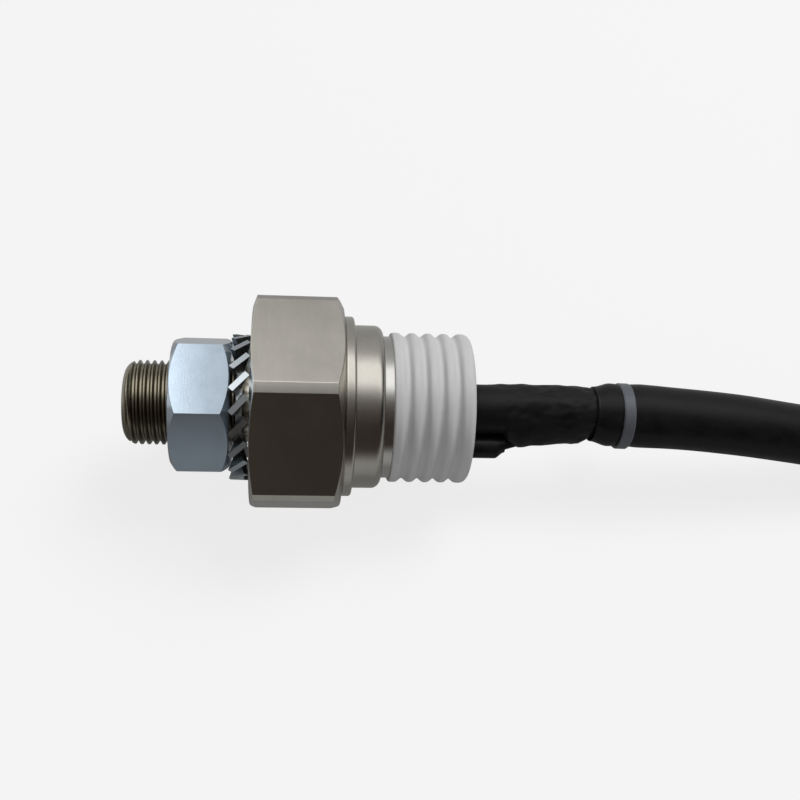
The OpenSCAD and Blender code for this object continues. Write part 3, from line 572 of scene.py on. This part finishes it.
class THYRISTOR_OT_lead(Builder, bpy.types.Operator):
    """Stranded lead with its two sleeves and its cable tie"""

    bl_idname = "thyristor.lead"
    bl_label = "Lead"

    strands = 12
    rope_lay = 0.075
    rope_radius = 4.4 * MM
    root_radius = 5.62 * MM
    # From where, and by how much, the root sleeve is swollen and then drawn in under the outer one
    swollen_from, swollen = 53 * MM, 0.15 * MM
    drawn_from, drawn_in = 74 * MM, 0.4 * MM
    # The root sleeve's bore is wide over the cathode tube and narrow past it
    wide_bore, narrow_bore, wide_length = 5.02 * MM, 4.75 * MM, 10.2 * MM
    outer_radius = 7.2 * MM
    outer_wall = 0.35 * MM
    outer_bore, least_wall = 6.5 * MM, 0.3 * MM
    view_side = math.radians(52)
    tie_station = 85.3 * MM
    tie_drop = 1.6 * MM
    # In mm, from the gate wire's middle to the root sleeve: beside the gate sleeve, on the wire, over it
    beside_sleeve, on_wire, over_wire = -2.38, -0.8, 1.4
    # In mm, where the gate wire is bare, and where the root sleeve no longer lies over it
    bare_from, over_until = 57, 78.6
    # In mm, the circles that the outer sleeve's mouth is shrunk round: up and side of the middle, and radius
    mouth = ((1.2, 0, 5.5), (-5.2, -1.2, 1.25), (-5.2, 1.2, 1.25))
    mouth_radius = 5.75
    mouth_length = 4.5 * MM

    def execute(self, context):
        shades = colours()
        rope_line = centreline(LEAD_ROUTE, 1.0 * MM)

        def strands(distance, angle):
            phase = self.strands / 2 * (angle - 2 * math.pi * distance / self.rope_lay)
            return self.rope_radius - 0.5 * MM + 0.55 * MM * abs(math.sin(phase)) ** 0.6

        rope = swept("lead_rope", rope_line, strands, 96)
        dress(rope, self.rope_finish(shades.copper), "cathode_lead")
        root = self.root_sleeve()
        outer = self.outer_sleeve()
        wrinkled = sleeve_skin("black_sleeve", shades.sleeve, 0.42, 0.25)
        smoother = sleeve_skin("outer_sleeve", shades.sleeve, 0.38, 0.12)
        dress(root, wrinkled, "lead_sleeve_inner")
        dress(outer, smoother, "lead_sleeve_outer")
        tie = self.cable_tie()
        dress(tie, moulded("tie_nylon", shades.tie, 0.4), "cable_tie")
        return {"FINISHED"}

    def rope_finish(self, shade):
        finish = Finish("stranded_copper", Metallic=1.0)
        wires = finish.grain((0.6, 6, 6), detail=2.0)
        toned = finish.blend(finish.span(wires, 0.0, 1.0), scaled(shade, 0.45), shade)
        return finish.set(Base_Color=toned, Roughness=0.34, Normal=finish.bump(wires, 0.6, 0.0001))

    def root_sleeve(self):
        """The wrinkled sleeve over the lead's root and the gate wire, narrower inside the outer sleeve."""
        line = centreline(ROOT_SLEEVE_ROUTE, 0.4 * MM)
        wrinkle = sizes().wrinkle

        def skin(distance, angle):
            x = line[0].x + distance
            place = Vector((x * 220, math.cos(angle) * 2.1, math.sin(angle) * 2.1))
            ripple = noise.noise(place) + 0.5 * noise.noise(place * 2.3)
            grown = rise(x, self.swollen_from, 6 * MM)
            tight = rise(x, self.drawn_from, 4 * MM)
            plain = self.root_radius - self.drawn_in * tight + self.swollen * grown
            away, side = self.beside(x)
            bulge = max(0.0, away - plain) * max(0.0, math.cos(angle - side)) ** 2
            return plain + bulge + wrinkle * ripple * (0.2 + 0.8 * grown)

        def bore(distance, angle):
            return self.wide_bore if distance < self.wide_length else self.narrow_bore

        return swept("root_sleeve", line, skin, 96, bore)

    def beside(self, x):
        """How far out, and on which side, the root sleeve bulges for the gate sleeve and its wire."""
        station = x / MM
        for (x0, y0, z0), (x1, y1, z1) in zip(GATE_ROUTE, GATE_ROUTE[1:]):
            if station <= x1:
                share = max(0.0, (station - x0) / (x1 - x0))
                y, z = y0 + (y1 - y0) * share, z0 + (z1 - z0) * share
                bare = (self.on_wire - self.beside_sleeve) * rise(station, self.bare_from, 0.8)
                over = min(rise(station, self.bare_from + 0.6, 3.4), rise(self.over_until - station, 0, 3))
                out = self.beside_sleeve + bare + (self.over_wire - self.on_wire) * over
                return (math.hypot(y, z) + out) * MM, math.atan2(y, z)

    def outer_sleeve(self):
        """The wide sleeve over lead and wires, shrunk round them at its mouth, with slow dents."""
        line = centreline(OUTER_SLEEVE_ROUTE, 0.8 * MM)

        def shrunk(angle):
            reach = []
            for up, side, radius in self.mouth:
                along = up * math.cos(angle) + side * math.sin(angle)
                room = radius**2 - up**2 - side**2 + along**2
                if room > 0:
                    reach.append(along + math.sqrt(room))
            return max(self.mouth_radius, *reach) * MM + self.outer_wall

        def skin(distance, angle):
            place = Vector((distance * 60, math.cos(angle) * 1.1, math.sin(angle) * 1.1))
            dents = 0.1 * MM * noise.noise(place)
            squeeze = 0.35 * MM * bell(line[0].x + distance, self.tie_station, 2.6 * MM)
            swell = 0.5 * MM * bell(distance, 8 * MM, 9 * MM) * max(0.0, math.cos(angle - self.view_side))
            wide = self.outer_radius + dents - squeeze + swell
            tight = shrunk(angle)
            return tight + (wide - tight) * eased(rise(distance, 0, self.mouth_length))

        def bore(distance, angle):
            return min(self.outer_bore, skin(distance, angle) - self.least_wall)

        return swept("outer_sleeve", line, skin, 96, bore)

    def cable_tie(self):
        inner, thick, width = 6.9 * MM, 0.75 * MM, 2.7 * MM
        corner, flank = 0.3 * MM, 0.7 * thick
        length, depth, height = 4.6 * MM, 4.4 * MM, 3.6 * MM
        foot = inner + 0.45 * MM
        head_side, lean = math.radians(-140), math.radians(2)
        strap = turned("cable_tie", [
            (-width / 2, inner), (width / 2, inner), (width / 2, inner + flank),
            (width / 2 - corner, inner + thick), (-width / 2 + corner, inner + thick),
            (-width / 2, inner + flank), (-width / 2, inner),
        ])
        head = fresh(
            "tie_head", bpy.ops.mesh.primitive_cube_add, size=1, scale=(length, depth, height),
            location=(0, 0, foot + height / 2),
        )
        round_edges(head, 0.5 * MM, 3)
        for part, turn in ((strap, 0), (head, head_side)):
            part.data.transform(
                Matrix.Translation((self.tie_station, 0, -self.tie_drop))
                @ Matrix.Rotation(lean, 4, "Y")
                @ Matrix.Rotation(turn, 4, "X")
            )
        piece = joined("cable_tie_band", [strap, head])
        smooth(piece)
        return piece


class THYRISTOR_OT_wires(Builder, bpy.types.Operator):
    """Gate wire and auxiliary cathode wire, and the gate wire's sleeve"""

    bl_idname = "thyristor.wires"
    bl_label = "Thin wires"

    wire_radius = 1.1 * MM
    lead_side = math.radians(51)
    # How far the gate sleeve's end runs on past its solid, over what length it narrows, and to what radius
    run_on = 1.4 * MM
    taper = 2.2 * MM
    narrow = 1.53 * MM

    def execute(self, context):
        shades = colours()
        for name, route, node, slot, shade, terminal in (
            ("gate_wire", GATE_ROUTE, "gate_lead", "wire_black", shades.sleeve, "gate_terminal"),
            ("aux_wire", AUX_ROUTE, "aux_lead", "wire_red", shades.red_wire, "aux_terminal"),
        ):
            line = centreline(route, 0.9 * MM)
            wire = swept(name, line, lambda distance, angle: self.wire_radius, 24)
            dress(wire, sleeve_skin(name + "_skin", shade, 0.4, 0.1), node)
            if name == "gate_wire":
                self.gate_sleeve()
        return {"FINISHED"}

    def gate_sleeve(self):
        """The short sleeve over the gate tube, which narrows onto the wire, away from the lead."""
        low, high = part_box("gate_sleeve")
        centre = (low + high) / 2
        radius = (high.y - low.y) / 2
        end = high.x - low.x + self.run_on
        line = [Vector((low.x + end * i / 40, centre.y, centre.z)) for i in range(41)]

        def skin(distance, angle):
            away = (1 - math.cos(angle - self.lead_side)) / 2
            full = radius + 0.08 * MM + 0.4 * MM * away
            return full - (full - self.narrow) * eased(rise(distance, end - self.taper, self.taper)) * away

        def bore(distance, angle):
            return min(1.5 * MM, skin(distance, angle) - 0.25 * MM)

        sleeve = swept("gate_sleeve_shrunk", line, skin, 48, bore)
        black = sleeve_skin("gate_sleeve_skin", colours().sleeve, 0.3, 0.1)
        dress(sleeve, black, "gate_sleeve")
        return sleeve


class THYRISTOR_OT_base(Builder, bpy.types.Operator):
    """Hexagonal base and its threaded stud, turned from one bar"""

    bl_idname = "thyristor.base"
    bl_label = "Base and stud"

    pocket_radius = 16.3 * MM
    pocket_floor = 18.4 * MM
    tip_radius = 3.2 * MM

    def execute(self, context):
        low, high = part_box("base_stud")
        top, corner, flat = high.x, high.y, high.z
        details = sizes()
        land = flat - details.land_inset
        base = hexagon("base_body", flat, 0, top)
        blank = turned("blank", [
            (self.pocket_floor, 0), (self.pocket_floor, self.pocket_radius), (top, self.pocket_radius),
            (top, land), (top - details.top_chamfer, corner), (details.seat_chamfer, corner), (0, land),
            (0, 0),
        ])
        combine(base, blank, "INTERSECT")
        round_edges(base, details.base_edge)
        stud = self.stud(-low.x)
        combine(base, stud, "UNION")
        smooth(base)
        flatten_faces(base)
        finish = plating("base_plating", colours().plating, 0.2, AROUND, 0.05, thread=colours().thread)
        dress(base, finish, "base_stud")
        return {"FINISHED"}

    def stud(self, reach):
        """The thread, cut to length and turned down at its tip and at its undercut."""
        details = sizes()
        pitch, depth = details.thread_pitch, details.thread_depth
        crest = 9.4 * MM
        root = crest - depth
        tooth = [(0, root), (0.12, root), (0.41, crest), (0.59, crest), (0.88, root), (1, root)]
        turns = math.ceil(reach / pitch) + 2
        thread = drawn("stud_thread", [((share - turns) * pitch, r) for share, r in tooth])
        apply_modifier(
            thread, "SCREW", axis="X", screw_offset=pitch, iterations=turns + 1, steps=72, render_steps=72,
            use_smooth_shade=True,
        )
        with editing(thread):
            bpy.ops.mesh.remove_doubles(threshold=1e-6)
            for cut, outwards in ((-reach - 0.5 * pitch, -1), (1 * MM, 1)):
                bpy.ops.mesh.select_all(action="SELECT")
                bpy.ops.mesh.bisect(
                    plane_co=(cut, 0, 0), plane_no=(outwards, 0, 0), use_fill=True, clear_outer=True
                )
            bpy.ops.mesh.select_all(action="SELECT")
            bpy.ops.mesh.normals_make_consistent(inside=False)
        shank = root - 0.1 * MM
        neck = details.neck_length
        blank = turned("stud_blank", [
            (-reach, 0), *arc(-reach + self.tip_radius, crest - self.tip_radius, self.tip_radius, 180, 90),
            (-neck - 0.8 * MM, crest), (-neck, shank), (0.5 * MM, shank), (0.5 * MM, 0),
        ])
        combine(thread, blank, "INTERSECT")
        return thread


class THYRISTOR_OT_nut(Builder, bpy.types.Operator):
    """Zinc-plated nut, chamfered at both ends"""

    bl_idname = "thyristor.nut"
    bl_label = "Nut"

    turn = math.radians(16)
    flat_radius = 14 * MM
    face_inset = 0.3 * MM
    chamfer_angle = math.radians(35)
    bore = 9.45 * MM

    def execute(self, context):
        low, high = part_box("hex_nut")
        height = high.x - low.x
        corner = self.flat_radius / math.cos(math.radians(30))
        face = self.flat_radius - self.face_inset
        chamfer = (corner - face) * math.tan(self.chamfer_angle)
        nut = hexagon("nut", self.flat_radius, low.x, height)
        blank = turned("nut_blank", [
            (low.x, self.bore), (low.x, face), (low.x + chamfer, corner), (high.x - chamfer, corner),
            (high.x, face), (high.x, self.bore), (low.x, self.bore),
        ])
        combine(nut, blank, "INTERSECT")
        round_edges(nut, sizes().nut_edge, 4, 12)
        nut.data.transform(Matrix.Rotation(self.turn, 4, "X"))
        smooth(nut, 40)
        flatten_faces(nut)
        dress(nut, zinc_plating(colours().zinc), "hex_nut")
        return {"FINISHED"}


class THYRISTOR_OT_washer(Builder, bpy.types.Operator):
    """Lock washer with twisted teeth"""

    bl_idname = "thyristor.washer"
    bl_label = "Lock washer"

    drop = 1.2 * MM
    bore = 10.6 * MM
    ring_radius = 13 * MM
    sunk = 0.8 * MM
    root_slant = math.radians(18)
    slant = math.radians(43)
    towards_nut = 0.2 * MM
    slices = 5

    def execute(self, context):
        low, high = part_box("lock_washer")
        middle = (low.x + high.x) / 2 - self.towards_nut
        tip = (high.y - low.y) / 2
        details = sizes()
        sheet = details.washer_sheet
        ring = turned("washer_ring", [
            (-sheet / 2, self.bore), (-sheet / 2, self.ring_radius), (sheet / 2, self.ring_radius),
            (sheet / 2, self.bore), (-sheet / 2, self.bore),
        ])
        tooth = self.tooth(tip)
        teeth = [tooth]
        for i in range(1, details.teeth):
            copy = tooth.copy()
            copy.data = tooth.data.copy()
            bpy.context.scene.collection.objects.link(copy)
            copy.data.transform(Matrix.Rotation(2 * math.pi * i / details.teeth, 4, "X"))
            teeth.append(copy)
        washer = joined("tooth_washer", [ring] + teeth)
        washer.data.transform(Matrix.Translation((middle, 0, -self.drop)))
        smooth(washer)
        finish = plating("washer_plating", colours().washer, 0.3, (1.5, 1.5, 1.5), 0.2)
        dress(washer, finish, "lock_washer")
        return {"FINISHED"}

    def tooth(self, tip):
        """A bar that is extruded outwards in slices, each wider and turned further than the last."""
        details = sizes()
        root = self.ring_radius - self.sunk
        step = (tip - root) / self.slices
        widen = (details.tooth_width / details.tooth_root_width) ** (1 / self.slices)
        twist = (self.slant - self.root_slant) / self.slices
        tooth = fresh("tooth", bpy.ops.mesh.primitive_plane_add, size=1, location=(0, 0, root))
        tooth.data.transform(
            Matrix.Translation((0, 0, root))
            @ Matrix.Rotation(-self.root_slant, 4, "Z")
            @ Matrix.Diagonal((details.washer_sheet, details.tooth_root_width, 1, 1))
            @ Matrix.Translation((0, 0, -root))
        )
        with editing(tooth):
            for i in range(self.slices):
                bpy.ops.mesh.extrude_region_move(TRANSFORM_OT_translate={"value": (0, 0, step)})
                middle = (0, 0, root + step * (i + 1))
                angle = self.root_slant + twist * i
                bpy.ops.transform.rotate(value=-angle, orient_axis="Z", center_override=middle)
                bpy.ops.transform.resize(value=(1, widen, 1), center_override=middle)
                bpy.ops.transform.rotate(value=angle + twist, orient_axis="Z", center_override=middle)
        return tooth


class THYRISTOR_OT_case(Builder, bpy.types.Operator):
    """Weld ring, pressed cap, neck and ribbed ceramic"""

    bl_idname = "thyristor.case"
    bl_label = "Case"

    ring_bore = 16.3 * MM
    ring_edge = 0.6 * MM
    cap_wall = 1.0 * MM
    cap_foot = 0.18 * MM
    neck_radius = 16.05 * MM
    neck_wall = 1.0 * MM
    neck_foot = 0.5 * MM
    shoulder = 1.9 * MM
    bore = 12.5 * MM
    pocket_depth = 2.4 * MM
    shelf = 1.0 * MM
    first_crest = 1.3 * MM
    last_crest = 2.1 * MM
    end_round = 1.6 * MM

    def execute(self, context):
        shades = colours()
        satin = plating("ring_plating", shades.plating, 0.17, AROUND, 0.06, spots=0.2)
        self.weld_ring(satin)
        self.cap(plating("cap_plating", shades.plating, 0.21, AROUND, 0.08))
        self.neck(plating("neck_metal", [0.66, 0.65, 0.62], 0.14, AROUND, 0.05, spots=0.1))
        self.ceramic(glazed_ceramic(shades.ceramic))
        return {"FINISHED"}

    def weld_ring(self, finish):
        low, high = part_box("weld_ring")
        r, edge, inner = high.z, self.ring_edge, self.ring_bore
        ring = turned("weld_ring_turned", [
            (low.x, inner), *arc(low.x + edge, r - edge, edge, 180, 90),
            *arc(high.x - edge, r - edge, edge, 90, 0), (high.x, inner), (low.x, inner),
        ])
        smooth(ring)
        dress(ring, finish, "weld_ring")

    def cap(self, finish):
        low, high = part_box("cap_shell")
        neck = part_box("neck_sleeve")[1].z
        wall, shoulder, foot, r = self.cap_wall, self.shoulder, self.cap_foot, high.z
        cap = turned("cap_pressed", [
            (low.x, r - wall), (low.x, r - foot), (low.x + foot, r),
            *arc(high.x - shoulder, r - shoulder, shoulder, 90, 0, 14),
            (high.x, neck), (high.x - wall, neck),
            *arc(high.x - shoulder, r - shoulder, shoulder - wall, 0, 90, 8),
            (low.x, r - wall),
        ])
        smooth(cap, 40)
        dress(cap, finish, "cap_shell")

    def neck(self, finish):
        low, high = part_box("neck_sleeve")
        top, foot, outer = high.x, high.z, self.neck_radius
        inner = outer - self.neck_wall
        neck = turned("neck_turned", [
            (low.x, inner), (low.x, foot), (low.x + self.neck_foot, foot), (low.x + self.neck_foot, outer),
            (top, outer), (top, inner), (low.x, inner),
        ])
        smooth(neck)
        dress(neck, finish, "neck_sleeve")

    def ceramic(self, finish):
        low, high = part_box("ceramic_insulator")
        details = sizes()
        r = high.z
        first, last = low.x + self.first_crest, high.x - self.last_crest
        pitch = (last - first) / (details.ribs - 1)
        steps = 16
        ribs = []
        for i in range(steps * (details.ribs - 1) + 1):
            phase = (1 - math.cos(2 * math.pi * i / steps)) / 2
            ribs.append((first + pitch * i / steps, r - details.rib_depth * phase**1.5))
        edge = 0.5 * MM
        seat = self.bore + self.shelf
        shelf = high.x - self.pocket_depth
        ceramic = turned("ceramic_ribbed", [
            (low.x, self.bore), *arc(low.x + edge, r - edge, edge, 180, 90, 5), *ribs,
            *arc(high.x - self.end_round, r - self.end_round, self.end_round, 90, 0, 12),
            (high.x, seat), (shelf, seat), (shelf, self.bore), (low.x, self.bore),
        ])
        smooth(ceramic, 40)
        dress(ceramic, finish, "ceramic_insulator")


class THYRISTOR_OT_inside(Builder, bpy.types.Operator):
    """Finishes of the solids that stay as they are, most of them inside the case"""

    bl_idname = "thyristor.inside"
    bl_label = "Inner pieces and terminals"

    def execute(self, context):
        shades = colours()
        copper = metal("copper_metal", shades.copper, 0.3, AROUND)
        steel = metal("spring_steel", (0.32, 0.33, 0.36), 0.32, AROUND)
        molybdenum = metal("molybdenum_metal", (0.36, 0.37, 0.39), 0.4, AROUND)
        insulation = moulded("stack_insulation", (0.74, 0.70, 0.60), 0.5)
        brass = metal("gate_metal", (0.70, 0.50, 0.20), 0.28)
        sealing = metal("seal_metal", (0.50, 0.49, 0.46), 0.3, AROUND)
        tin = metal("tinned_copper", shades.tin, 0.32, (1, 1, 1))
        glass = moulded("seal_glass", (0.05, 0.11, 0.09), 0.12)
        silicon = metal("silicon_face", (0.10, 0.11, 0.15), 0.1)
        for finish, names in (
            (copper, ("cathode_post", "inner_lead", "cathode_tube")),
            (steel, ("thrust_washer", "disc_spring_lower", "disc_spring_upper", "retaining_ring")),
            (steel, ("clamp_collar", "gate_spring")),
            (molybdenum, ("lower_disc", "upper_disc")),
            (insulation, ("locating_ring", "post_insulator", "mica_washer", "gate_bush")),
            (brass, ("gate_pin", "gate_inner_wire")),
            (sealing, ("top_seal", "gate_tube")),
            (tin, ("cable_lug", "gate_terminal", "aux_terminal")),
            (glass, ("gate_bead",)),
            (silicon, ("silicon_wafer",)),
        ):
            for name in names:
                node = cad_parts[name]
                node.data.materials.clear()
                node.data.materials.append(finish)
                smooth(node)
        return {"FINISHED"}


class THYRISTOR_OT_stage(Builder, bpy.types.Operator):
    """Floor, lamps and the tent that the metal reflects"""

    bl_idname = "thyristor.stage"
    bl_label = "Stage"

    floor_height = -22.5 * MM
    overhead_place, overhead_size = (0.6, 0.5, 1.25), 0.8
    front_place, front_size = (-0.2, -1.4, 1.2), 1.2
    tent_radius = 0.6
    tent_length = 3.0
    # Brightness of the tent by direction in degrees: 0 is level in front, 90 straight up, 180 level behind
    tent_levels = (
        (-180, 0.28), (-150, 0.36), (-125, 0.34), (-112, 0.14), (-38, 0.16), (-30, 0.25), (-20, 0.27),
        (-13, 0.10), (-8, 0.035), (25, 0.035), (45, 0.07), (59, 0.13), (70, 0.30), (79, 0.72), (86, 1.0),
        (113, 1.0), (122, 0.62), (133, 0.38), (156, 0.30), (180, 0.28),
    )
    # Share of that brightness by station along X, in metres
    tent_stations = (
        (-0.7, 0.05), (-0.25, 1.0), (-0.074, 1.0), (-0.066, 0.43), (0.5, 0.43), (1.2, 0.05),
    )
    # Tint of the tent where it is dark
    tent_shade = (1, 0.77, 0.65)

    def execute(self, context):
        setup = stage()
        scene = context.scene
        scene.view_settings.view_transform = "Standard"
        floor = fresh("floor", bpy.ops.mesh.primitive_plane_add, size=6, location=(0, 0, self.floor_height))
        floor.data.materials.append(self.floor_finish())
        self.lamp("overhead_softbox", self.overhead_place, self.overhead_size, setup.key_power)
        self.lamp("front_softbox", self.front_place, self.front_size, setup.fill_power)
        self.tent()
        self.room(scene)
        return {"FINISHED"}

    def lamp(self, name, place, size, power):
        light = bpy.data.lights.new(name, "AREA")
        light.size = size
        light.energy = power
        lamp = bpy.data.objects.new(name, light)
        bpy.context.scene.collection.objects.link(lamp)
        lamp.location = place
        lamp.rotation_mode = "QUATERNION"
        lamp.rotation_quaternion = (-Vector(place)).to_track_quat("-Z", "Y")
        lamp.visible_glossy = False

    def floor_finish(self):
        """Pale paper, a little brighter where it shows, which keeps the shadow."""
        finish = Finish("floor_paper", Roughness=0.9, Specular_IOR_Level=0.1)
        finish.set(Base_Color=colours().floor)
        white = finish.add("Emission", {"Color": (1, 1, 1), "Strength": 1.0})
        share = finish.math("MULTIPLY", finish.shows(), stage().floor_shine)
        mixed = finish.add("MixShader", {0: share, 1: finish.shader, 2: white})
        finish.put(finish.output, "Surface", mixed)
        return finish.material

    def tent(self):
        """A closed tube, cut off just above the floor, which only the shine of things shows."""
        tent = fresh(
            "tent", bpy.ops.mesh.primitive_cylinder_add, vertices=96, radius=self.tent_radius,
            depth=self.tent_length, end_fill_type="NGON", rotation=(0, math.pi / 2, 0),
        )
        above_floor = self.floor_height + MM
        with editing(tent):
            bpy.ops.mesh.bisect(
                plane_co=(0, 0, above_floor), plane_no=(0, 0, -1), use_fill=True, clear_outer=True
            )
        material = bpy.data.materials.new("tent_cloth")
        material.use_nodes = True
        cloth = Nodes(material.node_tree)
        place = cloth.add("SeparateXYZ", {0: cloth.add("TexCoord").outputs["Object"]})
        forward = cloth.math("MULTIPLY", place.outputs["Y"], -1.0)
        direction = cloth.math("ARCTAN2", place.outputs["Z"], forward)
        level = self.by_place(cloth, cloth.math("DEGREES", direction), -180, 180, self.tent_levels)
        half = self.tent_length / 2
        beside = self.by_place(cloth, place.outputs["X"], -half, half, self.tent_stations)
        power = cloth.math("MULTIPLY", cloth.math("MULTIPLY", level, beside), stage().tent_strength)
        clean = cloth.math("MINIMUM", cloth.math("MULTIPLY", level, 6.0), 1.0)
        tint = cloth.blend(clean, self.tent_shade, (1, 1, 1))
        glow = cloth.add("Emission", {"Color": tint, "Strength": power})
        cloth.add("OutputMaterial", {"Surface": glow})
        tent.data.materials.append(material)
        for rays in ("camera", "diffuse", "transmission", "volume_scatter", "shadow"):
            setattr(tent, "visible_" + rays, False)

    def by_place(self, cloth, value, low, high, stops):
        """A ramp whose stops are given in the value's own unit."""
        share = cloth.add("MapRange", {"Value": value, "From_Min": low, "From_Max": high})
        return cloth.ramp(share, [((place - low) / (high - low), level) for place, level in stops])

    def room(self, scene):
        """White where it shows, and a soft level of light from all round."""
        world = bpy.data.worlds.new("room")
        scene.world = world
        world.use_nodes = True
        room = Nodes(world.node_tree)
        white = room.add("Background", {"Color": (1, 1, 1), "Strength": 1.0})
        soft = room.add("Background", {"Color": (1, 1, 1), "Strength": stage().room_level})
        room.add("OutputWorld", {"Surface": room.add("MixShader", {0: room.shows(), 1: soft, 2: white})})


STEPS = (
    THYRISTOR_OT_camera, THYRISTOR_OT_lead, THYRISTOR_OT_wires, THYRISTOR_OT_base, THYRISTOR_OT_nut,
    THYRISTOR_OT_washer, THYRISTOR_OT_case, THYRISTOR_OT_inside, THYRISTOR_OT_stage,
)


class THYRISTOR_PT_panel(bpy.types.Panel):
    """Sidebar panel that lists the sizes, the colours and the steps"""

    bl_idname = "THYRISTOR_PT_panel"
    bl_label = "Thyristor"
    bl_space_type = "VIEW_3D"
    bl_region_type = "UI"
    bl_category = "Thyristor"

    def draw(self, context):
        for group in (sizes(), colours(), stage()):
            box = self.layout.box()
            for name in group.__annotations__:
                box.prop(group, name)
        for step in STEPS:
            self.layout.operator(step.bl_idname)


GROUPS = {
    "thyristor_sizes": ThyristorSizes,
    "thyristor_colours": ThyristorColours,
    "thyristor_stage": ThyristorStage,
}


def register():
    for name, group in GROUPS.items():
        bpy.utils.register_class(group)
        setattr(bpy.types.Scene, name, PointerProperty(type=group))
    for step in STEPS:
        bpy.utils.register_class(step)
    bpy.utils.register_class(THYRISTOR_PT_panel)


def unregister():
    bpy.utils.unregister_class(THYRISTOR_PT_panel)
    for step in reversed(STEPS):
        bpy.utils.unregister_class(step)
    for name, group in GROUPS.items():
        delattr(bpy.types.Scene, name)
        bpy.utils.unregister_class(group)


def main():
    register()
    for step in STEPS:
        family, name = step.bl_idname.split(".")
        getattr(getattr(bpy.ops, family), name)()


if __name__ == "__main__":
    main()
